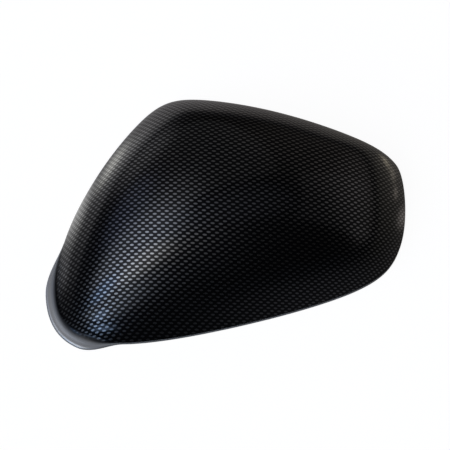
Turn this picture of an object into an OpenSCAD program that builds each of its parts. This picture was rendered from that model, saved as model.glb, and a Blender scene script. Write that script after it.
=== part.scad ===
// Wing mirror cover: a one-piece moulded shell that clips over the back of a door mirror.
// It lies on its rim with the open side down. +X runs from the big end to the small end,
// +Y from the near side to the far side, and +Z up to the crown. The origin is the middle
// of the rim's box, on the rim plane.

/* [Rim outline] */
// Length of the near side between its two sketch corners
near_side = 247; // [225:1:265]
// How far the near side climbs towards the far side on its way to the small end
near_rise = 55; // [40:1:70]
// Depth of the big end between its two sketch corners
big_end_depth = 204; // [185:1:220]
// How far the big end's far corner leans towards the small end
big_end_lean = 80; // [62:1:98]
// Depth of the small end between its two sketch corners
small_end_depth = 99; // [82:1:114]
// How far the small end's far corner leans outward
small_end_lean = 10; // [0:1:25]
// Length of side taken up by the rounding of the big end's near corner
big_near_round = 83; // [50:1:110]
// Length of side taken up by the rounding of the small end's near corner
small_near_round = 40; // [22:1:60]
// Length of side taken up by the rounding of the small end's far corner
small_far_round = 25; // [16:1:50]
// Length of side taken up by the rounding of the big end's far corner
big_far_round = 37; // [22:1:60]
// How far the near side bows outward
near_bow = 6; // [0:1:20]
// How far the small end bows outward
small_end_bow = 4; // [0:1:14]
// How far the far side bows outward
far_bow = 4; // [0:1:16]
// How far the big end bows outward
big_end_bow = 17; // [4:1:26]

/* [Dome] */
// Height of the crown above the rim plane
crown_height = 72; // [60:1:84]
// How far the crown sits from the middle of the rim towards the small end
crown_ahead = 0; // [-15:1:15]
// How far the crown sits from the middle of the rim towards the far side
crown_back = 4; // [-10:1:15]
// How flat the dome stays around its crown before it rolls over
crown_fullness = 2.2; // [2:0.1:2.8]
// How full the dome's shoulder is
shoulder_fullness = 2.1; // [1.9:0.1:2.6]
// Share of a full dome that is used, so that the walls keep a moulding draft
dome_reach = 0.93; // [0.88:0.01:0.97]
// Thickness of the moulded wall
wall = 2.5; // [2:0.1:3.5]

/* [Rim] */
// Height of the upright land around the rim
land = 2.5; // [2:0.1:4]
// Thickness of the rim's edge, where the mirror housing's edge steps inside it
edge_wall = 1.5; // [1:0.1:1.9]
// How far the lip at the big end's near corner flares out
lip_flare = 7; // [3:0.5:9]
// Height at which the lip starts to leave the wall
lip_height = 6.5; // [5:0.5:12]
// Radius of the lip's rounded edge
lip_round = 1.8; // [0.5:0.1:2.3]
// Direction in which the lip starts on the big end, in degrees around the rim
lip_start_angle = 188; // [178:1:194]
// Direction in which the lip ends on the near side, in degrees around the rim
lip_end_angle = 231; // [224:1:238]
// Angle over which the lip grows out of the rim on the big end
end_run_out_angle = 17; // [10:1:22]
// Angle over which the lip runs back into the rim on the near side
side_run_out_angle = 10; // [6:1:14]

/* [Snap hooks] */
// Places of the snap hooks, in degrees around the rim
hook_bearings = [12, 62, 118, 168, 254, 310];
// Distance of a hook's plate from the rim's outer edge
hook_setback = 9; // [7:0.5:13]
// Width of a hook's plate along the rim
hook_width = 14; // [9:1:20]
// Thickness of a hook's plate
hook_plate = 2.2; // [1.6:0.1:3]
// Height of the hook tips above the rim plane
hook_foot = 4; // [2:0.5:8]
// Reach of a hook's barb towards the middle of the cover
hook_barb = 2; // [1:0.1:3]
// Thickness of the two webs that brace each hook against the wall
web = 1.6; // [1.2:0.1:2.2]
// Free length of a hook's plate below its webs
hook_spring = 8; // [5:0.5:11]

/* [Locating pegs] */
// Places of the locating pegs, from the middle of the rim
peg_places = [[-64, -34], [-34, 46], [76, 4]];
// Radius of a peg
peg_radius = 3; // [2.5:0.1:4]
// Height of the peg tips above the rim plane
peg_foot = 16; // [10:1:24]
// Height of the lead-in cone at a peg's tip
peg_lead = 1.5; // [0.5:0.1:2.5]
// Plain length of a peg above its lead-in cone
peg_plain = 14; // [10:1:18]
// Radius of the thicker root that a peg stands on
peg_root_radius = 4.5; // [4.1:0.1:6]
// Reach of a peg's four fins from its axis
fin_reach = 8; // [5:0.5:11]
// Thickness of a peg's fins
fin = 1.6; // [1.2:0.1:2.2]

/* [Crown ribs] */
// Places of the ribs that run along the cover, from the middle of the rim
long_rib_places = [-30, 24];
// Places of the ribs that run across the cover, from the middle of the rim
cross_rib_places = [-56, -8, 40];
// Thickness of a crown rib
rib = 1.5; // [1:0.1:2.2]
// Depth of a crown rib below the inside of the wall
rib_depth = 4; // [2:0.5:7]
// Height above the rim plane where the crown ribs end
rib_foot = 34; // [26:1:44]

/* [Hidden] */

// Points on the rim for each of the twelve spans of its spline, and rings from crown to lip
fine_steps = 8;
coarse_steps = 4;
outer_rings = 15;
inner_rings = 12;
fillet_rings = 5;
round_rings = 3;
// How far a cutting solid runs past the face that it cuts
overrun = 1;
full_turn = 360;
quarter_turn = full_turn / 4;
$fn = 48;

// Corners of the sketch, counterclockwise from the big end's near corner
corners = [
    [0, 0],
    [near_side, near_rise],
    [near_side + small_end_lean, near_rise + small_end_depth],
    [big_end_lean, big_end_depth]
];
rounds = [big_near_round, small_near_round, small_far_round, big_far_round];
bows = [near_bow, small_end_bow, far_bow, big_end_bow];

// Small vector helpers: a unit vector, and the outward normal of a counterclockwise direction
function unit(v) = v / norm(v);
function outward(d) = [d.y, -d.x];
function middle(v) = (max(v) + min(v)) / 2;
function half_span(v) = (max(v) - min(v)) / 2;

// Three control points for a side: the end of one corner's rounding, the bow, the next rounding
function side_controls(k) =
    let (a = corners[k], b = corners[(k + 1) % len(corners)], d = unit(b - a))
    [
        a + d * rounds[k] / 2,
        (a + b) / 2 + outward(d) * bows[k],
        b - d * rounds[(k + 1) % len(corners)] / 2
    ];
controls = [for (k = [0:len(corners) - 1]) each side_controls(k)];

// A point of the closed cubic spline, at a share t of the span that starts at control k
function spline_point(k, t) =
    let (n = len(controls), s = 1 - t)
    (s * s * s * controls[(k + n - 1) % n]
        + (3 * t * t * t - 6 * t * t + 4) * controls[k]
        + (3 * s * s * s - 6 * s * s + 4) * controls[(k + 1) % n]
        + t * t * t * controls[(k + 2) % n]) / 6;
function sketch_outline(steps) =
    [for (k = [0:len(controls) - 1], i = [0:steps - 1]) spline_point(k, i / steps)];
function normals(loop) =
    let (n = len(loop)) [for (i = [0:n - 1]) outward(unit(loop[(i + 1) % n] - loop[(i + n - 1) % n]))];

// The sketch's own middle and half size, which place the lip and the crown
fine_sketch = sketch_outline(fine_steps);
sketch_middle = [middle([for (p = fine_sketch) p.x]), middle([for (p = fine_sketch) p.y])];
half_size = [half_span([for (p = fine_sketch) p.x]), half_span([for (p = fine_sketch) p.y])];
crown_sketch = sketch_middle + [crown_ahead, crown_back];

// Share of the lip's flare at a sketch point: one over the corner, running out to nothing
function clamped(t) = min(1, max(0, t));
function ease(t) = t * t * (3 - 2 * t);
function bearing(p) = (atan2(p.y - sketch_middle.y, p.x - sketch_middle.x) + full_turn) % full_turn;
function lip_share(p) =
    ease(clamped((bearing(p) - lip_start_angle) / end_run_out_angle))
    * ease(clamped((lip_end_angle - bearing(p)) / side_run_out_angle));

// The origin is the middle of the box around the rim and its lip
fine_normals = normals(fine_sketch);
lip_edge = [for (i = [0:len(fine_sketch) - 1])
    fine_sketch[i] + lip_share(fine_sketch[i]) * lip_flare * fine_normals[i]];
origin = [middle([for (p = lip_edge) p.x]), middle([for (p = lip_edge) p.y])];
crown = crown_sketch - origin;

// Height of the dome at a share rho of the way out from the crown, and the way back
dome_base = pow(1 - pow(dome_reach, crown_fullness), 1 / shoulder_fullness);
function dome_rise(rho) =
    (pow(1 - pow(dome_reach * rho, crown_fullness), 1 / shoulder_fullness) - dome_base) / (1 - dome_base);
function dome_share(rise) =
    pow(1 - pow(dome_base + (1 - dome_base) * rise, shoulder_fullness), 1 / crown_fullness) / dome_reach;

// A point of the skin: the sections change from an oval at the crown to the outline at the rim
function skin_xy(p, normal, rho, inset, flare) =
    let (
        edge = p - origin - crown - normal * inset,
        turn = atan2(edge.y / half_size.y, edge.x / half_size.x),
        oval = [(half_size.x - inset) * cos(turn), (half_size.y - inset) * sin(turn)]
    )
    crown + rho * ((1 - rho) * oval + rho * edge) + normal * flare * lip_share(p);

// One ring of a skin, with its height; steps is the number of points on each span
function ring(steps, rho, z, inset = 0, flare = 0) =
    let (loop = sketch_outline(steps), out = normals(loop))
    [for (i = [0:len(loop) - 1]) let (q = skin_xy(loop[i], out[i], rho, inset, flare)) [q.x, q.y, z]];

// Closes a stack of rings into a solid, with a point on top and a flat foot
module ring_solid(rings, top) {
    n = len(rings[0]);
    last = len(rings) - 1;
    points = concat([top], [for (r = rings) each r]);
    cap = [for (i = [0:n - 1]) [0, 1 + (i + 1) % n, 1 + i]];
    sides = [for (r = [0:last - 1], i = [0:n - 1])
        let (a = 1 + r * n + i, b = 1 + r * n + (i + 1) % n)
        each [[a, b, b + n], [a, b + n, a + n]]];
    foot = [[for (i = [0:n - 1]) 1 + last * n + i]];
    polyhedron(points, concat(cap, sides, foot), convexity = 4);
}

// The outside of the cover: dome, concave fillet into the lip, rounded edge and upright land
module outer_solid() {
    lip_rho = dome_share((lip_height - land) / (crown_height - land));
    dome = [for (k = [1:outer_rings])
        let (rho = lip_rho * sin(quarter_turn * k / outer_rings))
        ring(fine_steps, rho, land + (crown_height - land) * dome_rise(rho))];
    fillet = [for (k = [1:fillet_rings])
        let (
            turn = quarter_turn * k / fillet_rings,
            rise = (lip_height - land) * (1 - sin(turn)) / (crown_height - land)
        )
        ring(
            fine_steps,
            dome_share(rise),
            land + (crown_height - land) * rise,
            flare = (lip_flare - lip_round) * (1 - cos(turn))
        )];
    edge = [for (k = [1:round_rings])
        let (turn = quarter_turn * k / round_rings)
        ring(
            fine_steps,
            1,
            land - lip_round * (1 - cos(turn)),
            flare = lip_flare - lip_round * (1 - sin(turn))
        )];
    foot = ring(fine_steps, 1, 0, flare = lip_flare);
    ring_solid(concat(dome, fillet, edge, [foot]), [crown.x, crown.y, crown_height]);
}

// The cover's form drawn in by an inset all over, which runs on below the rim plane
module inset_solid(inset, steps, rings) {
    top = crown_height - inset;
    dome = [for (k = [1:rings])
        let (rho = sin(quarter_turn * k / rings))
        ring(steps, rho, land + (top - land) * dome_rise(rho), inset)];
    foot = ring(steps, 1, -overrun, inset);
    ring_solid(concat(dome, [foot]), [crown.x, crown.y, top]);
}

// The step inside the rim that takes the edge of the mirror housing
module rim_step() {
    loop = ring(fine_steps, 1, 0, edge_wall);
    translate([0, 0, -overrun])
        linear_extrude(land + overrun)
            polygon([for (p = loop) [p.x, p.y]]);
}

module shell() {
    difference() {
        outer_solid();
        inset_solid(wall, coarse_steps, inner_rings);
        rim_step();
    }
}

// The rim point nearest to a bearing, with its outward direction
function rim_index(angle) =
    let (
        half_turn = full_turn / 2,
        gaps = [for (p = fine_sketch)
            abs((bearing(p) - angle + full_turn + half_turn) % full_turn - half_turn)]
    )
    search(min(gaps), gaps)[0];

// Moves its children to a place inside the rim, with local +X towards the rim
module at_rim(angle, setback) {
    i = rim_index(angle);
    out = fine_normals[i];
    p = fine_sketch[i] - origin - out * setback;
    translate([p.x, p.y, 0])
        rotate(atan2(out.y, out.x))
            children();
}

// An upright plate cut to a profile in local X and Z, centred on local Y
module upright(profile, thickness) {
    translate([0, thickness / 2, 0])
        rotate([90, 0, 0])
            linear_extrude(thickness)
                polygon(profile);
}

// A sprung plate with a barb at its tip, braced against the wall by two webs
module snap_hook() {
    spring_top = hook_foot + hook_spring;
    plate = [
        [0, crown_height],
        [-hook_plate, crown_height],
        [-hook_plate, hook_foot + 2 * hook_barb],
        [-hook_plate - hook_barb, hook_foot + hook_barb],
        [-hook_plate, hook_foot],
        [0, hook_foot]
    ];
    brace = [
        [-hook_plate / 2, spring_top],
        [hook_setback, spring_top],
        [hook_setback, crown_height],
        [-hook_plate / 2, crown_height]
    ];
    upright(plate, hook_width);
    for (side = [-1, 1])
        translate([0, side * (hook_width - web) / 2, 0])
            upright(brace, web);
}

// A round peg with a lead-in cone, on a thicker root with four fins
module locating_peg() {
    plain_foot = peg_foot + peg_lead;
    root_foot = plain_foot + peg_plain;
    fin_profile = [
        [-fin_reach, crown_height],
        [-fin_reach, root_foot + fin_reach],
        [-peg_root_radius / 2, root_foot],
        [peg_root_radius / 2, root_foot],
        [fin_reach, root_foot + fin_reach],
        [fin_reach, crown_height]
    ];
    translate([0, 0, peg_foot])
        cylinder(h = peg_lead, r1 = peg_radius - peg_lead / 2, r2 = peg_radius);
    translate([0, 0, plain_foot])
        cylinder(h = peg_plain, r = peg_radius);
    translate([0, 0, root_foot])
        cylinder(h = crown_height, r = peg_root_radius);
    for (turn = [0, 90])
        rotate(turn)
            upright(fin_profile, fin);
}

// A grid of low ribs that keeps the crown from drumming
module crown_ribs() {
    reach = 2 * max(half_size);
    difference() {
        union() {
            for (y = long_rib_places)
                translate([-reach, y - rib / 2, rib_foot])
                    cube([2 * reach, rib, crown_height]);
            for (x = cross_rib_places)
                translate([x - rib / 2, -reach, rib_foot])
                    cube([rib, 2 * reach, crown_height]);
        }
        inset_solid(wall + rib_depth, coarse_steps, inner_rings);
    }
}

// What stands on the inside of the wall, rooted half a wall deep
module inside_fittings() {
    intersection() {
        union() {
            for (angle = hook_bearings)
                at_rim(angle, hook_setback)
                    snap_hook();
            for (place = peg_places)
                translate(place)
                    locating_peg();
            crown_ribs();
        }
        inset_solid(wall / 2, coarse_steps, inner_rings);
    }
}

module mirror_cover() {
    color([0.05, 0.05, 0.06]) {
        shell();
        inside_fittings();
    }
}

mirror_cover();
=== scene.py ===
import logging
import math
from dataclasses import dataclass, field
from enum import Enum
from typing import Callable, Iterable, Sequence

import bpy
import numpy as np
from bpy.types import Material, NodeSocket, Object
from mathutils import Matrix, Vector
from mathutils.bvhtree import BVHTree


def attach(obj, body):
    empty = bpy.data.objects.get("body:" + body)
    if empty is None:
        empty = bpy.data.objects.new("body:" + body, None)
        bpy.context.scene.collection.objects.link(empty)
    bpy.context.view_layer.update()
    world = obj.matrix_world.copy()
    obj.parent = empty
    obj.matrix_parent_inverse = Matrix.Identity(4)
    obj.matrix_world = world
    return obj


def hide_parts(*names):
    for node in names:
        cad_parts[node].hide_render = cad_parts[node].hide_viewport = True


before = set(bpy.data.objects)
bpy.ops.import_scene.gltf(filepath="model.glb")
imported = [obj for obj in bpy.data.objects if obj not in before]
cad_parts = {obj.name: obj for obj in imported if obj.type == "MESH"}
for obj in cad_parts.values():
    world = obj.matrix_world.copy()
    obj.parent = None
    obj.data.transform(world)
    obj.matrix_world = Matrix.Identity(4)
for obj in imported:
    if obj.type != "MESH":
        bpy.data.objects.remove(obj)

log = logging.getLogger("wing_mirror_cover")

Rgb = tuple[float, float, float]
Rgba = tuple[float, float, float, float]
Point = tuple[float, float, float]
Faces = list[tuple[int, ...]]

BODY = "root"
NODE = "mirror_cover"
MM = 0.001
TINY = 1e-9
BEVEL_ANGLE = 35.0
FITTING_SMOOTH = 32.0
SKIN_SMOOTH = 40.0


class Side(Enum):
    """Which finish a face of the moulding takes."""

    OUTSIDE = 0
    INSIDE = 1


class Shader:
    """A short way to lay out one node tree of a material or world."""

    MIX_FIRST, MIX_SECOND, MIX_COLOUR = 6, 7, 2

    def __init__(self, tree: bpy.types.NodeTree) -> None:
        """Empties the tree, to fill it anew."""
        tree.nodes.clear()
        self.tree = tree

    def add(self, kind: str, **settings: object) -> bpy.types.Node:
        """Adds a node and sets its plain properties.

        Args:
            kind: the node's type name.
            settings: attribute values of the node.

        Returns:
            The new node.
        """
        node = self.tree.nodes.new(kind)
        for name, value in settings.items():
            setattr(node, name, value)
        return node

    def feed(self, socket: NodeSocket, value: object) -> None:
        """Links a socket to another, or sets its value.

        Args:
            socket: the input socket.
            value: an output socket, a number or a tuple.
        """
        if isinstance(value, NodeSocket):
            self.tree.links.new(value, socket)
        else:
            socket.default_value = value

    def wire(self, kind: str, *values: object, **settings: object) -> NodeSocket:
        """Adds a node and feeds its inputs in order.

        Args:
            kind: the node's type name.
            values: its inputs, as sockets or values.
            settings: attribute values of the node.

        Returns:
            The node's first output.
        """
        node = self.add(kind, **settings)
        for socket, value in zip(node.inputs, values):
            self.feed(socket, value)
        return node.outputs[0]

    def math(self, operation: str, *values: object) -> NodeSocket:
        """Does one operation on sockets or numbers."""
        return self.wire("ShaderNodeMath", *values, operation=operation)

    def measure(self, operation: str, first: object, second: object) -> NodeSocket:
        """Takes a number from two vectors, such as their distance."""
        node = self.wire("ShaderNodeVectorMath", first, second, operation=operation).node
        return node.outputs["Value"]

    def smooth(
        self, value: object, low: float, high: float, start: float = 0.0, end: float = 1.0
    ) -> NodeSocket:
        """Maps a value smoothly, to start where it is low and to end where it is high."""
        ends = (low, high, start, end)
        return self.wire("ShaderNodeMapRange", value, *ends, interpolation_type="SMOOTHSTEP")

    def blend(self, share: object, first: object, second: object) -> NodeSocket:
        """Mixes two colours, each a socket or a plain colour.

        Args:
            share: share of the second colour.
            first: colour at share 0.
            second: colour at share 1.

        Returns:
            The mixed colour.
        """
        node = self.add("ShaderNodeMix", data_type="RGBA")
        self.feed(node.inputs[0], share)
        self.feed(node.inputs[self.MIX_FIRST], first)
        self.feed(node.inputs[self.MIX_SECOND], second)
        return node.outputs[self.MIX_COLOUR]

    def noise(self, vector: object, scale: float, detail: float = 2.0) -> NodeSocket:
        """Adds a noise texture.

        Args:
            vector: its coordinates.
            scale: its scale, in cells per metre.
            detail: its octaves.

        Returns:
            The noise value, from 0 to 1.
        """
        node = self.add("ShaderNodeTexNoise")
        self.feed(node.inputs["Vector"], vector)
        self.feed(node.inputs["Scale"], scale)
        self.feed(node.inputs["Detail"], detail)
        return node.outputs[0]

    def bump(self, height: object, strength: float, distance: float) -> NodeSocket:
        """Turns a height into a normal.

        Args:
            height: the height socket.
            strength: share of the bump that is used.
            distance: the height's size in metres.

        Returns:
            The bent normal.
        """
        node = self.add("ShaderNodeBump")
        self.feed(node.inputs["Strength"], strength)
        self.feed(node.inputs["Distance"], distance)
        self.feed(node.inputs["Height"], height)
        return node.outputs[0]

    def light(self, kind: str, colour: Rgb, strength: object) -> NodeSocket:
        """Adds an emission or a background of a colour and strength."""
        return self.wire(kind, (*colour, 1.0), strength)

    def matt(self, shade: float) -> NodeSocket:
        """Adds a plain matt grey shader."""
        return self.wire("ShaderNodeBsdfDiffuse", (shade, shade, shade, 1.0))

    def both(self, first: object, second: object) -> NodeSocket:
        """Adds up two shaders."""
        return self.wire("ShaderNodeAddShader", first, second)

    def show(self, kind: str, shader: object) -> None:
        """Leads a shader to a new output node of a kind."""
        self.feed(self.add(kind).inputs[0], shader)


def new_material(name: str) -> tuple[Material, Shader]:
    """Makes an empty material.

    Args:
        name: its name.

    Returns:
        The material, and the helper that fills it.
    """
    made = bpy.data.materials.new(name)
    made.use_nodes = True
    return made, Shader(made.node_tree)


@dataclass(frozen=True)
class CarbonLacquer:
    """Printed carbon weave under clear gloss lacquer, as on the outside."""

    ground: Rgba = (0.0020, 0.0020, 0.0025, 1.0)
    thread: Rgba = (0.25, 0.25, 0.253, 1.0)
    lip: Rgba = (0.56, 0.55, 0.53, 1.0)
    row_shift: float = 0.5
    dash_half_length: float = 0.31
    dash_half_width: float = 0.37
    dash_core: float = 0.6
    dash_edge: float = 1.0
    darkest_dash: float = 0.85
    print_onset: tuple[float, float] = (0.28, 0.95)
    lip_fade: tuple[float, float] = (0.03, 0.60)
    lip_metal: float = 0.40
    lip_roughness: float = 0.25
    metal_onset: float = 0.12
    print_roughness: float = 0.3
    ground_gloss: float = 0.055
    coat: float = 0.56
    coat_roughness: float = 0.05
    coat_ior: float = 1.3
    peel_scale: float = 260.0
    peel_strength: float = 0.04
    peel_depth: float = 0.0004

    def material(self) -> Material:
        """Builds the material.

        Returns:
            The new material.
        """
        made, sh = new_material("carbon_lacquer")
        lattice = sh.add("ShaderNodeAttribute", attribute_name="weave").outputs["Vector"]
        split = sh.add("ShaderNodeSeparateXYZ")
        sh.feed(split.inputs[0], lattice)
        along, across, height = split.outputs
        row = sh.math("ROUND", across)
        shifted = sh.math("ADD", along, sh.math("FRACT", sh.math("MULTIPLY", row, self.row_shift)))
        column = sh.math("ROUND", shifted)
        u = sh.math("DIVIDE", sh.math("SUBTRACT", shifted, column), self.dash_half_length)
        v = sh.math("DIVIDE", sh.math("SUBTRACT", across, row), self.dash_half_width)
        reach = sh.math("SQRT", sh.math("ADD", sh.math("MULTIPLY", u, u), sh.math("MULTIPLY", v, v)))
        dash = sh.smooth(reach, self.dash_edge, self.dash_core)
        cell = sh.wire("ShaderNodeCombineXYZ", column, row)
        chance = sh.wire("ShaderNodeTexWhiteNoise", cell, noise_dimensions="2D")
        tone = sh.smooth(chance, 0.0, 1.0, self.darkest_dash)
        printed = sh.smooth(height, *self.print_onset)
        bare = sh.smooth(sh.math("SQRT", height), *self.lip_fade, 1.0, 0.0)
        share = sh.math("MULTIPLY", sh.math("MULTIPLY", dash, tone), printed)

        place = sh.add("ShaderNodeTexCoord").outputs["Object"]
        peel = sh.bump(sh.noise(place, self.peel_scale), self.peel_strength, self.peel_depth)

        shader = sh.add("ShaderNodeBsdfPrincipled")
        woven = sh.blend(share, self.ground, self.thread)
        sh.feed(shader.inputs["Base Color"], sh.blend(bare, woven, self.lip))
        threads = sh.smooth(share, 0.0, self.metal_onset)
        change = sh.math("MULTIPLY", bare, sh.math("SUBTRACT", self.lip_metal, threads))
        sh.feed(shader.inputs["Metallic"], sh.math("ADD", threads, change))
        rough = sh.smooth(bare, 0.0, 1.0, self.print_roughness, self.lip_roughness)
        sh.feed(shader.inputs["Roughness"], rough)
        sh.feed(shader.inputs["Specular IOR Level"], self.ground_gloss)
        sh.feed(shader.inputs["Coat Weight"], self.coat)
        sh.feed(shader.inputs["Coat Roughness"], self.coat_roughness)
        sh.feed(shader.inputs["Coat IOR"], self.coat_ior)
        sh.feed(shader.inputs["Coat Normal"], peel)
        sh.show("ShaderNodeOutputMaterial", shader.outputs[0])
        return made


@dataclass(frozen=True)
class SatinMoulding:
    """Bare black moulded plastic, as on the inside and the fittings."""

    colour: Rgba = (0.016, 0.016, 0.017, 1.0)
    worn: Rgba = (0.026, 0.026, 0.027, 1.0)
    worn_onset: tuple[float, float] = (0.35, 0.7)
    rough_onset: tuple[float, float] = (0.3, 0.75)
    smoothest: float = 0.34
    roughest: float = 0.52
    flow_scale: float = 28.0
    flow_detail: float = 4.0
    grain_scale: float = 2600.0
    grain_strength: float = 0.25
    grain_depth: float = 0.00008

    def material(self) -> Material:
        """Builds the material.

        Returns:
            The new material.
        """
        made, sh = new_material("satin_moulding")
        place = sh.add("ShaderNodeTexCoord").outputs["Object"]
        flow = sh.noise(place, self.flow_scale, self.flow_detail)
        grain = sh.noise(place, self.grain_scale)
        shader = sh.add("ShaderNodeBsdfPrincipled")
        tint = sh.blend(sh.smooth(flow, *self.worn_onset), self.colour, self.worn)
        sh.feed(shader.inputs["Base Color"], tint)
        rough = sh.smooth(flow, *self.rough_onset, self.smoothest, self.roughest)
        sh.feed(shader.inputs["Roughness"], rough)
        sh.feed(shader.inputs["Normal"], sh.bump(grain, self.grain_strength, self.grain_depth))
        sh.show("ShaderNodeOutputMaterial", shader.outputs[0])
        return made


def quarter_turn(steps: int, first: int = 1) -> list[tuple[float, float]]:
    """Sine and cosine at each step of a quarter turn."""
    turns = (math.pi / 2 * k / steps for k in range(first, steps + 1))
    return [(math.sin(turn), math.cos(turn)) for turn in turns]


@dataclass(frozen=True)
class RimOutline:
    """The rim seen from above: a four-sided sketch with rounded corners and bowed sides, in mm."""

    near_side: float = 247
    near_rise: float = 55
    big_end_depth: float = 204
    big_end_lean: float = 80
    small_end_depth: float = 99
    small_end_lean: float = 10
    rounds: tuple[float, ...] = (83, 40, 25, 37)
    bows: tuple[float, ...] = (6, 4, 4, 17)
    lip_start: float = 188
    lip_end: float = 231
    end_run_out: float = 17
    side_run_out: float = 10
    lip_flare: float = 7
    reference_steps: int = 8

    def controls(self) -> np.ndarray:
        """Control points of the closed spline: for each side its two rounding ends and its bow.

        Returns:
            Twelve points, in order round the rim.
        """
        corners = np.array(
            [
                [0, 0],
                [self.near_side, self.near_rise],
                [self.near_side + self.small_end_lean, self.near_rise + self.small_end_depth],
                [self.big_end_lean, self.big_end_depth],
            ],
            float,
        )
        made = []
        for k, start in enumerate(corners):
            following = (k + 1) % len(corners)
            end = corners[following]
            along = (end - start) / np.linalg.norm(end - start)
            outward = np.array([along[1], -along[0]])
            made.append(start + along * self.rounds[k] / 2)
            made.append((start + end) / 2 + outward * self.bows[k])
            made.append(end - along * self.rounds[following] / 2)
        return np.array(made)

    def sketch(self, steps: int) -> np.ndarray:
        """Points of the sketch outline.

        Args:
            steps: points on each of the spline's twelve spans.

        Returns:
            The points, counterclockwise.
        """
        controls = self.controls()
        t = np.arange(steps) / steps
        s = 1 - t
        weights = np.stack([s**3, 3 * t**3 - 6 * t**2 + 4, 3 * s**3 - 6 * s**2 + 4, t**3], 1) / 6
        spans = [
            weights @ np.stack([np.roll(controls, shift, 0)[k] for shift in (1, 0, -1, -2)])
            for k in range(len(controls))
        ]
        return np.concatenate(spans)

    @staticmethod
    def normals(loop: np.ndarray) -> np.ndarray:
        """Outward unit normals of a counterclockwise loop.

        Args:
            loop: its points.

        Returns:
            One normal for each point.
        """
        along = np.roll(loop, -1, 0) - np.roll(loop, 1, 0)
        along /= np.linalg.norm(along, axis=1)[:, None]
        return np.stack([along[:, 1], -along[:, 0]], 1)

    def middle(self) -> np.ndarray:
        """Middle of the sketch's box."""
        loop = self.sketch(self.reference_steps)
        return (loop.max(0) + loop.min(0)) / 2

    def half_size(self) -> np.ndarray:
        """Half the sketch's box."""
        loop = self.sketch(self.reference_steps)
        return (loop.max(0) - loop.min(0)) / 2

    def bearings(self, loop: np.ndarray) -> np.ndarray:
        """Directions of points from the sketch's middle, in degrees."""
        away = loop - self.middle()
        return np.degrees(np.arctan2(away[:, 1], away[:, 0])) % 360

    def lip_share(self, loop: np.ndarray) -> np.ndarray:
        """Share of the lip's flare at each point of the sketch.

        Args:
            loop: points of the sketch.

        Returns:
            Shares from 0 to 1.
        """
        angle = self.bearings(loop)
        rising = np.clip((angle - self.lip_start) / self.end_run_out, 0, 1)
        falling = np.clip((self.lip_end - angle) / self.side_run_out, 0, 1)
        return (rising**2 * (3 - 2 * rising)) * (falling**2 * (3 - 2 * falling))

    def origin(self) -> np.ndarray:
        """Middle of the box around the rim and its lip, which is the part's own origin.

        Returns:
            The point in plan.
        """
        loop = self.sketch(self.reference_steps)
        edge = loop + (self.lip_share(loop) * self.lip_flare)[:, None] * self.normals(loop)
        return (edge.max(0) + edge.min(0)) / 2


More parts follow.
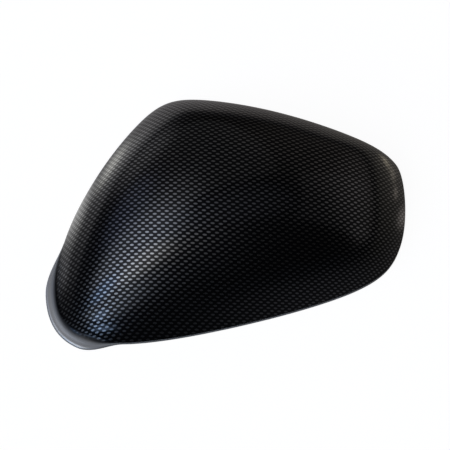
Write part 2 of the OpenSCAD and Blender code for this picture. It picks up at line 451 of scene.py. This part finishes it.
@dataclass(frozen=True)
class DomeForm:
    """The moulding's form over its rim, in mm: crown, wall, land and lip."""

    rim: RimOutline = field(default_factory=RimOutline)
    crown_height: float = 72
    crown_offset: tuple[float, float] = (0, 4)
    crown_fullness: float = 2.2
    shoulder_fullness: float = 2.1
    dome_reach: float = 0.93
    wall: float = 2.5
    land: float = 2.5
    edge_wall: float = 1.5
    lip_height: float = 6.5
    lip_round: float = 1.8
    margin: float = 0.06

    def top(self) -> float:
        """Height of the crown, drawn in like the rings."""
        return self.crown_height - self.margin

    def crown(self) -> np.ndarray:
        """The crown's place in plan."""
        return self.rim.middle() + self.crown_offset - self.rim.origin()

    def base(self) -> float:
        """Rise of a full dome at this dome's rim."""
        return (1 - self.dome_reach**self.crown_fullness) ** (1 / self.shoulder_fullness)

    def rise(self, rho: float) -> float:
        """Share of the dome's height at a share rho of the way out from the crown."""
        full = (1 - (self.dome_reach * rho) ** self.crown_fullness) ** (1 / self.shoulder_fullness)
        return (full - self.base()) / (1 - self.base())

    def reach(self, rise: float) -> float:
        """Share of the way out at which the dome has a share of its height."""
        full = self.base() + (1 - self.base()) * rise
        return (1 - full**self.shoulder_fullness) ** (1 / self.crown_fullness) / self.dome_reach

    def ring(self, steps: int, rho: float, z: float, inset: float = 0, flare: float = 0) -> np.ndarray:
        """One ring of a skin.

        Args:
            steps: points on each span of the rim's spline.
            rho: share of the way out from the crown.
            z: height.
            inset: distance that the skin is drawn in.
            flare: distance that the lip stands out.

        Returns:
            The ring's points in three dimensions.
        """
        loop = self.rim.sketch(steps)
        out = self.rim.normals(loop)
        edge = loop - self.rim.origin() - self.crown() - out * (inset + self.margin)
        half = self.rim.half_size()
        turn = np.arctan2(edge[:, 1] / half[1], edge[:, 0] / half[0])
        oval = np.stack([(half[0] - inset) * np.cos(turn), (half[1] - inset) * np.sin(turn)], 1)
        flat = self.crown() + rho * ((1 - rho) * oval + rho * edge)
        flat = flat + out * (flare * self.rim.lip_share(loop))[:, None]
        return np.c_[flat, np.full(len(flat), z)]

    def outer_rings(self, steps: int, dome: int, fillet: int, edge: int) -> list[np.ndarray]:
        """Rings of the outside, from the crown down to the lip's rounded edge.

        Args:
            steps: points on each span.
            dome: rings on the dome.
            fillet: rings on the concave fillet into the lip.
            edge: rings on the lip's rounded edge.

        Returns:
            The rings, from the top down.
        """
        height = self.top() - self.land
        lip_rho = self.reach((self.lip_height - self.land) / height)
        rings = []
        for sine, _ in quarter_turn(dome):
            rho = lip_rho * sine
            rings.append(self.ring(steps, rho, self.land + height * self.rise(rho)))
        for sine, cosine in quarter_turn(fillet):
            rise = (self.lip_height - self.land) * (1 - sine) / height
            flare = (self.rim.lip_flare - self.lip_round) * (1 - cosine)
            rings.append(self.ring(steps, self.reach(rise), self.land + height * rise, flare=flare))
        for sine, cosine in quarter_turn(edge):
            z = self.land - self.lip_round * (1 - cosine)
            flare = self.rim.lip_flare - self.lip_round * (1 - sine)
            rings.append(self.ring(steps, 1, z, flare=flare))
        return rings

    def inset_rings(self, inset: float, steps: int, count: int) -> list[np.ndarray]:
        """Rings of the form drawn in all over, from the crown down to the land.

        Args:
            inset: how far the form is drawn in.
            steps: points on each span.
            count: number of rings.

        Returns:
            The rings, from the top down.
        """
        height = self.top() - inset - self.land
        rings = []
        for rho, _ in quarter_turn(count):
            rings.append(self.ring(steps, rho, self.land + height * self.rise(rho), inset))
        return rings


def ring_faces(around: int, rings: int, rising: bool = False) -> Faces:
    """Faces of a skin of rings: a fan from its first point, then four-sided faces.

    Args:
        around: points on each ring.
        rings: number of rings.
        rising: whether the rings run upwards, which turns the faces round.

    Returns:
        The faces as point numbers.
    """
    faces: Faces = [(0, 1 + i, 1 + (i + 1) % around) for i in range(around)]
    for r in range(rings - 1):
        for i in range(around):
            a, b = 1 + r * around + i, 1 + r * around + (i + 1) % around
            faces.append((a, a + around, b + around, b))
    return [(f[0], *f[:0:-1]) for f in faces] if rising else faces


class InnerSkin:
    """A drawn-in skin of the form that can be asked for its height, used to root the fittings."""

    SPAN_STEPS, RINGS = 12, 40
    SKIRT = -5.0

    def __init__(self, form: DomeForm, inset: float) -> None:
        """Builds the search tree.

        Args:
            form: the moulding's form.
            inset: how far the skin is drawn in, in mm.
        """
        rings = form.inset_rings(inset, self.SPAN_STEPS, self.RINGS)
        rings.append(form.ring(self.SPAN_STEPS, 1, self.SKIRT, inset))
        top = [*form.crown(), form.top() - inset]
        points = np.concatenate([[top], *rings])
        faces = ring_faces(len(rings[0]), len(rings))
        self.tree = BVHTree.FromPolygons([Vector(p) for p in points], faces)
        self.above = form.crown_height * 2

    def height(self, x: float, y: float) -> float | None:
        """Height of the skin over a point of the plan in mm, or None outside the skin."""
        hit = self.tree.ray_cast(Vector((x, y, self.above)), Vector((0, 0, -1)))
        return hit[0].z if hit[0] is not None else None


def add_piece(
    name: str, points: Iterable[Sequence[float]], faces: Iterable[Sequence[int]]
) -> Object:
    """Makes a mesh object from points in mm.

    Args:
        name: the piece's name.
        points: its points in mm.
        faces: its faces as point numbers.

    Returns:
        The new object, linked to the scene.
    """
    mesh = bpy.data.meshes.new(name)
    mesh.from_pydata([Vector(p) * MM for p in points], [], [tuple(f) for f in faces])
    mesh.update()
    piece = bpy.data.objects.new(name, mesh)
    bpy.context.scene.collection.objects.link(piece)
    return piece


def place_on_cover(piece: Object) -> None:
    """Rides a piece on the cover's body and hides the cover's imported part.

    Args:
        piece: the piece.
    """
    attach(piece, BODY)
    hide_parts(NODE)


def round_edges(piece: Object, width: float, segments: int = 2) -> None:
    """Rounds a piece's sharp edges and applies the result.

    Args:
        piece: the piece.
        width: width of the rounding in mm.
        segments: facets across it.
    """
    bevel = piece.modifiers.new("edges", "BEVEL")
    bevel.width = width * MM
    bevel.segments = segments
    bevel.limit_method = "ANGLE"
    bevel.angle_limit = math.radians(BEVEL_ANGLE)
    bevel.use_clamp_overlap = True
    graph = bpy.context.evaluated_depsgraph_get()
    rounded = bpy.data.meshes.new_from_object(piece.evaluated_get(graph))
    piece.modifiers.clear()
    piece.data = rounded
    smooth_by_angle(piece, FITTING_SMOOTH)


def smooth_by_angle(piece: Object, degrees: float) -> None:
    """Shades a piece smooth, apart from edges sharper than an angle."""
    piece.data.shade_smooth()
    piece.data.set_sharp_from_angle(angle=math.radians(degrees))


def add_fitting(
    name: str, points: list[Point], faces: Faces, finish: Material, edge: float = 0.0
) -> Object:
    """Makes one of the fittings inside the cover.

    Args:
        name: the piece's name.
        points: its points in mm.
        faces: its faces as point numbers.
        finish: its material.
        edge: width of its rounded edges in mm, or 0 where its own mesh rounds them.

    Returns:
        The fitting's object.
    """
    piece = add_piece(name, points, faces)
    piece.data.materials.append(finish)
    if edge:
        round_edges(piece, edge)
    else:
        smooth_by_angle(piece, SKIN_SMOOTH)
    place_on_cover(piece)
    return piece


@dataclass
class Drape:
    """How the printed weave lies on the dome: counts of dashes and rows over lengths of skin.

    Each tuple holds the weights of v, v2, v3, u, uv, uv2, u2, u2v and u3, where u and v are
    lengths over the skin from the crown, in tenths of a metre.
    """

    dashes: tuple[float, ...] = (-0.83, -1.95, -0.42, 19.01, -0.69, 0.52, 0.03, 0.04, -0.73)
    rows: tuple[float, ...] = (-54.17, 2.61, 7.57, -6.52, -5.11, -2.66, 3.74, 1.08, 2.57)
    unit: float = 100.0
    upright_run: float = 1e-3
    least_agreement: float = 0.3

    def skin_lengths(self, rings: np.ndarray, outward: np.ndarray) -> tuple[np.ndarray, np.ndarray]:
        """Lengths over the skin along X and Y, summed down each line of points from the crown.

        Args:
            rings: points of the skin, by ring and by place round it, from the crown down.
            outward: horizontal unit normals of the same points.

        Returns:
            The two lengths for each point, in mm.
        """
        lengths = np.zeros((2, *rings.shape[:2]))
        for r in range(1, len(rings)):
            step = rings[r] - rings[r - 1]
            run = np.linalg.norm(step[:, :2], axis=1)
            normal = outward[r] + (outward[r - 1] if r > 1 else 0)
            normal = normal / np.linalg.norm(normal, axis=1)[:, None]
            slope = step[:, :2] / np.maximum(run, TINY)[:, None]
            course = np.where((run > self.upright_run)[:, None], slope, normal)
            agreement = np.maximum((course * normal).sum(1), self.least_agreement)
            for axis in (0, 1):
                drop = normal[:, axis] * course[:, axis] * step[:, 2] / agreement
                length = np.sqrt(step[:, axis] ** 2 + drop**2) * np.sign(course[:, axis])
                lengths[axis, r] = lengths[axis, r - 1] + length
        return lengths[0], lengths[1]

    def lattice(self, rings: np.ndarray, outward: np.ndarray) -> np.ndarray:
        """Counts of dashes and rows at each point of the skin.

        Args:
            rings: points of the skin, by ring and by place round it, from the crown down.
            outward: horizontal unit normals of the same points.

        Returns:
            Two counts for each point.
        """
        u, v = (length / self.unit for length in self.skin_lengths(rings, outward))
        terms = np.stack([v, v**2, v**3, u, u * v, u * v**2, u**2, u**2 * v, u**3], -1)
        return np.stack([terms @ np.array(self.dashes), terms @ np.array(self.rows)], -1)


@dataclass
class CoverShell:
    """The moulded shell: outer skin, lip, rim edge, rim step and inner skin, as one closed mesh."""

    form: DomeForm = field(default_factory=DomeForm)
    drape: Drape = field(default_factory=Drape)
    steps: int = 24
    dome_rings: int = 84
    fillet_rings: int = 12
    edge_rings: int = 6
    inner_rings: int = 44
    foot_round: float = 0.35
    step_round: float = 0.25
    round_rings: int = 4
    print_fade: float = 2.4
    print_stretch: float = 3.2

    def outside(self) -> list[np.ndarray]:
        """Rings of the outside, down to the rounded foot of the rim.

        Returns:
            The rings, from the top down.
        """
        form = self.form
        flare = form.rim.lip_flare
        rings = form.outer_rings(self.steps, self.dome_rings, self.fillet_rings, self.edge_rings)
        for sine, cosine in quarter_turn(self.round_rings, 0):
            z = self.foot_round * (1 - sine)
            rings.append(form.ring(self.steps, 1, z, self.foot_round * (1 - cosine), flare))
        return rings

    def inside(self) -> list[np.ndarray]:
        """Rings from the rim's flat foot, over the step, and up the inner skin to the crown.

        Returns:
            The rings, from the foot up.
        """
        form, r = self.form, self.step_round
        rings = []
        for sine, cosine in quarter_turn(self.round_rings, 0):
            inset = form.edge_wall - r * (1 - sine)
            rings.append(form.ring(self.steps, 1, r * (1 - cosine), inset))
        rings.append(form.ring(self.steps, 1, form.land, form.edge_wall))
        for sine, cosine in quarter_turn(self.round_rings, 0):
            inset = form.wall - r * (1 - sine)
            rings.append(form.ring(self.steps, 1, form.land + r * (1 - cosine), inset))
        rings += form.inset_rings(form.wall, self.steps, self.inner_rings)[-2::-1]
        return rings

    def build(self, finishes: dict[Side, Material]) -> Object:
        """Builds the shell.

        Args:
            finishes: the two materials of the moulding.

        Returns:
            The shell's object.
        """
        outer, inner = self.outside(), self.inside()
        rings = outer + inner
        crown = self.form.crown()
        top = [*crown, self.form.top()]
        under = [*crown, self.form.top() - self.form.wall]
        n = len(rings[0])
        points = np.concatenate([[top], *rings, [under]])
        faces = ring_faces(n, len(rings))
        end = len(points) - 1
        faces += [(end, end - n + (i + 1) % n, end - n + i) for i in range(n)]
        piece = add_piece("cover_shell", points, faces)
        mesh = piece.data
        for side in Side:
            mesh.materials.append(finishes[side])
        sides = np.full(len(faces), Side.INSIDE.value)
        sides[:len(outer) * n] = Side.OUTSIDE.value
        mesh.polygons.foreach_set("material_index", sides)
        self.lay_weave(mesh, outer, top)
        smooth_by_angle(piece, SKIN_SMOOTH)
        place_on_cover(piece)
        return piece

    def print_height(self, skin: np.ndarray) -> np.ndarray:
        """Height over the bare edge, by which the print fades in: 0 on the lip and land, 1 on the dome.

        Args:
            skin: points of the outside, by ring and by place round it.

        Returns:
            Shares from 0 to 1.
        """
        form = self.form
        share = form.rim.lip_share(form.rim.sketch(self.steps))
        fade = self.print_fade + share * self.print_stretch
        return np.clip((skin[..., 2] - form.land) / fade, 0, 1)

    def lay_weave(self, mesh: bpy.types.Mesh, outer: list[np.ndarray], top: Sequence[float]) -> None:
        """Stores the weave's lattice on the mesh.

        Args:
            mesh: the shell's mesh.
            outer: rings of its outside.
            top: the crown's point.
        """
        skin = np.array([np.tile(top, (len(outer[0]), 1)), *outer])
        down = np.gradient(skin, axis=0)
        around = np.roll(skin, -1, 1) - np.roll(skin, 1, 1)
        outward = np.cross(down, around)[..., :2]
        outward /= np.maximum(np.linalg.norm(outward, axis=-1, keepdims=True), TINY)
        lattice = self.drape.lattice(skin, outward)
        values = np.zeros((len(mesh.vertices), 3))
        count = len(outer) * len(outer[0])
        values[1:1 + count, :2] = lattice[1:].reshape(-1, 2)
        values[0, 2] = 1.0
        values[1:1 + count, 2] = self.print_height(skin[1:]).ravel()
        layer = mesh.attributes.new("weave", "FLOAT_VECTOR", "POINT")
        layer.data.foreach_set("vector", values.astype(np.float32).ravel())


@dataclass
class Plate:
    """An upright moulded plate between a lower edge and the wall."""

    thickness: float
    least_height: float = 0.05

    def add_to(
        self,
        points: list[Point],
        faces: Faces,
        stations: Sequence[float],
        place: Callable[[float, float], tuple[float, float]],
        bottom: Callable[[float, float, float], float],
        roof: InnerSkin,
    ) -> None:
        """Adds the plate to the points and faces of a piece.

        Args:
            points: the piece's points.
            faces: the piece's faces.
            stations: places along the plate.
            place: turns a station and an offset across the plate into a plan point.
            bottom: lower edge at a plan point, given the station as well.
            roof: the skin that the plate runs up to.
        """
        start, columns = len(points), []
        for s in stations:
            left, right = (place(s, side * self.thickness / 2) for side in (-1, 1))
            tops = [roof.height(*p) for p in (left, right)]
            if None in tops:
                continue
            lows = [bottom(s, *p) for p in (left, right)]
            if min(t - b for t, b in zip(tops, lows)) < self.least_height:
                continue
            corners = ((left, lows[0]), (right, lows[1]), (right, tops[1]), (left, tops[0]))
            columns.append([(*flat, z) for flat, z in corners])
        for column in columns:
            points += column
        n = len(columns[0])
        end = len(points) - n
        for a in range(start, end, n):
            for i in range(n):
                j = (i + 1) % n
                faces.append((a + i, a + j, a + n + j, a + n + i))
        faces.append(tuple(reversed(range(start, start + n))))
        faces.append(tuple(range(end, end + n)))


@dataclass
class SnapHooks:
    """Six sprung hooks with barbs, each braced against the wall by two webs."""

    form: DomeForm
    bearings: tuple[float, ...] = (12, 62, 118, 168, 254, 310)
    setback: float = 9
    width: float = 14
    plate: float = 2.2
    foot: float = 4
    barb: float = 2
    web: float = 1.6
    spring: float = 8
    across_steps: int = 8
    web_steps: int = 42
    edge: float = 0.3

    def seat(self, bearing: float) -> tuple[np.ndarray, np.ndarray]:
        """The hook's place inside the rim, and its outward direction.

        Args:
            bearing: direction of the hook, in degrees around the rim.

        Returns:
            The plan point and the unit direction.
        """
        rim = self.form.rim
        loop = rim.sketch(rim.reference_steps)
        gaps = np.abs((rim.bearings(loop) - bearing + 180) % 360 - 180)
        nearest = int(np.argmin(gaps))
        out = rim.normals(loop)[nearest]
        return loop[nearest] - rim.origin() - out * self.setback, out

    def build(self, roof: InnerSkin, finish: Material) -> list[Object]:
        """Builds the six hooks.

        Args:
            roof: the skin inside the wall that they are rooted in.
            finish: their material.

        Returns:
            The hooks' objects.
        """
        made = []
        for number, bearing in enumerate(self.bearings, 1):
            spot, out = self.seat(bearing)
            along = np.array([-out[1], out[0]])

            def to_plan(x: float, y: float) -> tuple[float, float]:
                """Plan point of a local point."""
                return tuple(spot + out * x + along * y)

            points, faces = self.hook_plate(to_plan, roof)
            spring_top = self.foot + self.spring
            stations = np.linspace(-self.plate / 2, self.setback, self.web_steps)
            for side in (-1, 1):
                middle = side * (self.width - self.web) / 2
                Plate(self.web).add_to(
                    points,
                    faces,
                    stations,
                    lambda s, offset: to_plan(s, middle + offset),
                    lambda s, x, y: spring_top,
                    roof,
                )
            made.append(add_fitting(f"snap_hook_{number}", points, faces, finish, self.edge))
        return made

    def hook_plate(
        self, to_plan: Callable[[float, float], tuple[float, float]], roof: InnerSkin
    ) -> tuple[list[Point], Faces]:
        """The sprung plate with its barb.

        Args:
            to_plan: turns a local point into a plan point.
            roof: the skin that the plate runs up to.

        Returns:
            Points and faces.
        """
        inner, tip = -self.plate, -self.plate - self.barb
        profile = [
            (0, None),
            (inner, None),
            (inner, self.foot + 2 * self.barb),
            (tip, self.foot + self.barb),
            (inner, self.foot),
            (0, self.foot),
        ]
        points, faces = [], []
        count = len(profile)
        for y in np.linspace(-self.width / 2, self.width / 2, self.across_steps + 1):
            for x, z in profile:
                px, py = to_plan(x, y)
                points.append((px, py, roof.height(px, py) if z is None else z))
        for k in range(self.across_steps):
            for i in range(count):
                j = (i + 1) % count
                a, b = k * count, (k + 1) * count
                faces.append((a + i, b + i, b + j, a + j))
        faces.append(tuple(range(count)))
        faces.append(tuple(reversed(range(len(points) - count, len(points)))))
        return points, faces


@dataclass
class LocatingPegs:
    """Three round pegs with a lead-in cone, on thicker roots with four fins."""

    places: tuple[tuple[float, float], ...] = ((-64, -34), (-34, 46), (76, 4))
    radius: float = 3
    foot: float = 16
    lead: float = 1.5
    plain: float = 14
    root_radius: float = 4.5
    fin_reach: float = 8
    fin: float = 1.6
    facets: int = 48
    corner: float = 0.3
    corner_in: float = 0.3
    corner_out: float = 0.1
    fin_steps: int = 25
    fin_drop: float = 0.4
    fin_edge: float = 0.25

    def profile(self) -> list[tuple[float, float]]:
        """The peg's lathe line, from its tip up, before it meets the wall.

        Returns:
            A radius and a height for each of its points.
        """
        plain_foot = self.foot + self.lead
        root_foot = plain_foot + self.plain
        tip = self.radius - self.lead / 2
        r = self.corner
        cut, sunk = r * self.corner_in, r * self.corner_out
        return [
            (tip - r, self.foot),
            (tip - cut, self.foot + cut),
            (tip, self.foot + r),
            (self.radius, plain_foot),
            (self.radius, root_foot - r),
            (self.radius + cut, root_foot - sunk),
            (self.root_radius - r, root_foot),
            (self.root_radius - cut, root_foot + cut),
            (self.root_radius, root_foot + r),
        ]

    def build(self, roof: InnerSkin, finish: Material) -> list[Object]:
        """Builds the three pegs.

        Args:
            roof: the skin inside the wall that they are rooted in.
            finish: their material.

        Returns:
            The pegs' objects.
        """
        made = []
        for number, (cx, cy) in enumerate(self.places, 1):
            points: list[Point] = [(cx, cy, self.foot)]
            turns = np.linspace(0, 2 * math.pi, self.facets, endpoint=False)
            for radius, z in self.profile():
                points += [(cx + radius * math.cos(t), cy + radius * math.sin(t), z) for t in turns]
            for t in turns:
                x, y = cx + self.root_radius * math.cos(t), cy + self.root_radius * math.sin(t)
                points.append((x, y, roof.height(x, y)))
            faces = ring_faces(self.facets, len(self.profile()) + 1, rising=True)
            faces.append(tuple(range(len(points) - self.facets, len(points))))
            made.append(add_fitting(f"locating_peg_{number}", points, faces, finish))
            made.append(self.fins(number, (cx, cy), roof, finish))
        return made

    def fins(
        self, number: int, centre: tuple[float, float], roof: InnerSkin, finish: Material
    ) -> Object:
        """Builds a peg's four fins, as two crossed plates.

        Args:
            number: the peg's number.
            centre: its place in plan.
            roof: the skin inside the wall.
            finish: their material.

        Returns:
            The fins' object.
        """
        root_foot = self.foot + self.lead + self.plain
        start = self.root_radius / 2
        slope = self.fin_reach / (self.fin_reach - start)
        points, faces = [], []
        for turned in (False, True):
            Plate(self.fin).add_to(
                points,
                faces,
                np.linspace(-self.fin_reach, self.fin_reach, self.fin_steps),
                lambda s, o: (centre[0] + (o if turned else s), centre[1] + (s if turned else -o)),
                lambda s, x, y: root_foot + max(0.0, abs(s) - start) * slope + self.fin_drop,
                roof,
            )
        return add_fitting(f"peg_fins_{number}", points, faces, finish, self.fin_edge)


@dataclass
class CrownRibs:
    """The grid of low ribs under the crown."""

    form: DomeForm
    long_places: tuple[float, ...] = (-30, 24)
    cross_places: tuple[float, ...] = (-56, -8, 40)
    thickness: float = 1.5
    depth: float = 4
    foot: float = 34
    pitch: float = 1.5
    edge: float = 0.3

    def build(self, roof: InnerSkin, finish: Material) -> list[Object]:
        """Builds the five ribs.

        Args:
            roof: the skin inside the wall that they are rooted in.
            finish: their material.

        Returns:
            The ribs' objects.
        """
        deep = InnerSkin(self.form, self.form.wall + self.depth)
        reach = 2 * float(max(self.form.rim.half_size()))
        stations = np.arange(-reach / 2, reach / 2, self.pitch)
        made = []

        def lower_edge(s: float, x: float, y: float) -> float:
            """Lower edge of a rib: the deeper skin, but not under the ribs' foot."""
            return max(self.foot, deep.height(x, y) or self.foot)

        runs = [("long", place) for place in self.long_places]
        runs += [("cross", place) for place in self.cross_places]
        for number, (kind, at) in enumerate(runs, 1):
            points, faces = [], []
            Plate(self.thickness).add_to(
                points,
                faces,
                stations,
                lambda s, o: (at + o, s) if kind == "cross" else (s, at - o),
                lower_edge,
                roof,
            )
            made.append(add_fitting(f"{kind}_rib_{number}", points, faces, finish, self.edge))
        return made


@dataclass
class SoftPanel:
    """A soft square studio light."""

    name: str
    spot: Point
    width: float
    power: float
    colour: Rgb
    aim: Point = (0.0, 0.0, 0.03)

    def build(self) -> None:
        """Places the light."""
        lamp = bpy.data.lights.new(self.name, "AREA")
        lamp.shape = "SQUARE"
        lamp.size = self.width
        lamp.energy = self.power
        lamp.color = self.colour
        light = bpy.data.objects.new(self.name, lamp)
        light.location = self.spot
        away = Vector(self.aim) - Vector(self.spot)
        light.rotation_euler = away.to_track_quat("-Z", "Y").to_euler()
        bpy.context.scene.collection.objects.link(light)


@dataclass(frozen=True)
class Glow:
    """A soft round brightness in the room, such as a window's, with its angles in degrees."""

    bearing: float
    elevation: float
    level: Rgb
    spread: float

    def axis(self) -> Point:
        """Unit direction of its middle."""
        turn, lift = math.radians(self.bearing), math.radians(self.elevation)
        return (math.cos(lift) * math.cos(turn), math.cos(lift) * math.sin(turn), math.sin(lift))


@dataclass(frozen=True)
class PaintedLightPool:
    """A painted pool of light on the ground, glowing only to glossy rays so that the lacquer mirrors
    it, with its reach in metres.
    """

    x: float
    y: float
    reach: float
    level: Rgb


@dataclass
class Studio:
    """Floor, surroundings, lights and camera."""

    floor_half: float = 3.0
    floor_shade: float = 0.06
    floor_glow: float = 0.94
    floor_soft: float = 0.17
    room_shade: Rgb = (1.0, 0.9, 0.7)
    room_level: float = 0.009
    white: Rgb = (1.0, 1.0, 1.0)
    glows: tuple[Glow, ...] = (
        Glow(-158, 45, (1.19, 1.31, 1.57), 36),
        Glow(-122, 15, (0.864, 0.954, 1.12), 30),
        Glow(-125, 44, (1.66, 1.64, 1.62), 19),
        Glow(160, 30, (0.198, 0.234, 0.378), 20),
        Glow(-122, 4, (1.71, 2.52, 3.96), 9),
        Glow(-143, 23, (0.396, 0.936, 1.89), 14),
        Glow(160, 62, (0.216, 0.216, 0.234), 20),
        Glow(131, 6, (0.36, 0.36, 0.38), 20),
        Glow(50, 22, (0.104, 0.095, 0.09), 45),
        Glow(8, 5, (0.135, 0.126, 0.126), 40),
        Glow(-30, 78, (0.076, 0.079, 0.094), 24),
        Glow(-20, 0, (0.09, 0.086, 0.086), 20),
    )
    painted_light_pools: tuple[PaintedLightPool, ...] = (
        PaintedLightPool(-0.120, 0.074, 0.042, (1.3, 1.3, 1.22)),
        PaintedLightPool(-0.118, 0.012, 0.045, (0.66, 0.66, 0.645)),
        PaintedLightPool(-0.138, -0.030, 0.028, (0.306, 0.306, 0.324)),
        PaintedLightPool(-0.155, 0.128, 0.08, (0.45, 0.45, 0.45)),
        PaintedLightPool(-0.26, 0.19, 0.35, (0.396, 0.396, 0.414)),
        PaintedLightPool(-0.45, 0.42, 0.30, (0.27, 0.27, 0.288)),
        PaintedLightPool(0.02, 0.25, 0.35, (0.18, 0.162, 0.153)),
        PaintedLightPool(0.26, 0.08, 0.28, (0.126, 0.117, 0.099)),
        PaintedLightPool(0.1405, 0.068, 0.017, (0.95, 0.84, 0.64)),
        PaintedLightPool(0.1395, 0.048, 0.014, (0.48, 0.43, 0.35)),
        PaintedLightPool(0.1420, 0.030, 0.010, (0.58, 0.51, 0.44)),
        PaintedLightPool(0.1290, 0.004, 0.014, (0.30, 0.27, 0.25)),
        PaintedLightPool(-0.152, -0.222, 0.047, (3.42, 5.04, 7.92)),
        PaintedLightPool(-0.112, -0.158, 0.032, (3.24, 4.68, 7.2)),
        PaintedLightPool(0.08, -0.09, 0.14, (0.058, 0.058, 0.065)),
    )
    camera_elevation: float = 64.0
    camera_distance: float = 0.8
    camera_aim: Point = (0.0, 0.0, 0.03)
    camera_reach: tuple[float, float] = (0.05, 20.0)
    focal_pixels: float = 1213.02
    frame_pixels: int = 450
    centre_pixels: tuple[float, float] = (228.41, 203.29)
    sensor: float = 36.0
    panels: tuple[SoftPanel, ...] = (
        SoftPanel("back_fill", (-0.65, 1.15, 1.35), 2.4, 1.79, (0.97, 0.97, 1.0)),
        SoftPanel("side_fill", (1.6, 0.0, 0.95), 1.8, 0.824, (0.97, 0.96, 1.0)),
    )

    @staticmethod
    def straight(sh: Shader, path: bpy.types.bpy_prop_collection) -> NodeSocket:
        """1 for a ray from the camera or through something clear, or else 0."""
        return sh.math("MAXIMUM", path["Is Camera Ray"], path["Is Transmission Ray"])

    def floor(self) -> None:
        """Lays the pale floor, which shows white to the camera but keeps the cover's shadow."""
        h = self.floor_half / MM
        plane = add_piece("floor", [(-h, -h, 0), (h, -h, 0), (h, h, 0), (-h, h, 0)], [(0, 1, 2, 3)])
        made, sh = new_material("floor_white")
        path = sh.add("ShaderNodeLightPath").outputs
        place = sh.add("ShaderNodeTexCoord").outputs["Object"]
        ground = sh.matt(self.floor_shade)
        # Painted pools of light on the floor: emission that only glossy rays see, which the lacquer
        # mirrors as lit ground.
        for light_pool in self.painted_light_pools:
            away = sh.measure("DISTANCE", place, (light_pool.x, light_pool.y, 0.0))
            share = sh.smooth(away, light_pool.reach, 0.0)
            strength = sh.math("MULTIPLY", share, path["Is Glossy Ray"])
            ground = sh.both(ground, sh.light("ShaderNodeEmission", light_pool.level, strength))
        pale = sh.light("ShaderNodeEmission", self.white, self.floor_glow)
        white = sh.both(sh.matt(self.floor_soft), pale)
        mixed = sh.wire("ShaderNodeMixShader", self.straight(sh, path), ground, white)
        sh.show("ShaderNodeOutputMaterial", mixed)
        plane.data.materials.append(made)

    def surroundings(self) -> None:
        """Sets the world: white where it is seen straight, and a dark room with glows all round."""
        world = bpy.data.worlds.new("studio")
        bpy.context.scene.world = world
        world.use_nodes = True
        sh = Shader(world.node_tree)
        path = sh.add("ShaderNodeLightPath").outputs
        direction = sh.add("ShaderNodeTexCoord").outputs["Generated"]
        room = sh.light("ShaderNodeBackground", self.room_shade, self.room_level)
        for glow in self.glows:
            toward = sh.measure("DOT_PRODUCT", direction, glow.axis())
            strength = sh.smooth(toward, math.cos(math.radians(glow.spread)), 1.0)
            room = sh.both(room, sh.light("ShaderNodeBackground", glow.level, strength))
        white = sh.light("ShaderNodeBackground", self.white, 1.0)
        mixed = sh.wire("ShaderNodeMixShader", self.straight(sh, path), room, white)
        sh.show("ShaderNodeOutputWorld", mixed)

    def camera(self) -> None:
        """Sets the camera at the photograph's viewing angle."""
        data = bpy.data.cameras.new("camera")
        data.sensor_width = self.sensor
        data.lens = self.focal_pixels / self.frame_pixels * self.sensor
        half = self.frame_pixels / 2
        data.shift_x = (half - self.centre_pixels[0]) / self.frame_pixels
        data.shift_y = (self.centre_pixels[1] - half) / self.frame_pixels
        data.clip_start, data.clip_end = self.camera_reach
        elevation = math.radians(self.camera_elevation)
        back = Vector((0.0, -math.cos(elevation), math.sin(elevation)))
        made = bpy.data.objects.new("camera", data)
        made.location = Vector(self.camera_aim) + back * self.camera_distance
        made.rotation_euler = (-back).to_track_quat("-Z", "Y").to_euler()
        bpy.context.scene.collection.objects.link(made)
        bpy.context.scene.camera = made

    def build(self) -> None:
        """Builds the whole studio."""
        self.camera()
        self.floor()
        self.surroundings()
        for panel in self.panels:
            panel.build()
        bpy.context.scene.view_settings.view_transform = "Standard"
        log.info("studio: %d panels", len(self.panels))


def main() -> None:
    """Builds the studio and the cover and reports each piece."""
    logging.basicConfig(level=logging.INFO, format="%(name)s %(message)s")
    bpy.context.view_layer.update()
    Studio().build()
    finishes = {
        Side.OUTSIDE: CarbonLacquer().material(),
        Side.INSIDE: SatinMoulding().material(),
    }
    form = DomeForm()
    pieces = [CoverShell(form).build(finishes)]
    roof = InnerSkin(form, form.wall / 2)
    for fittings in (SnapHooks(form), LocatingPegs(), CrownRibs(form)):
        pieces += fittings.build(roof, finishes[Side.INSIDE])
    for piece in pieces:
        log.info("%s: %d faces", piece.name, len(piece.data.polygons))


if __name__ == "__main__":
    main()
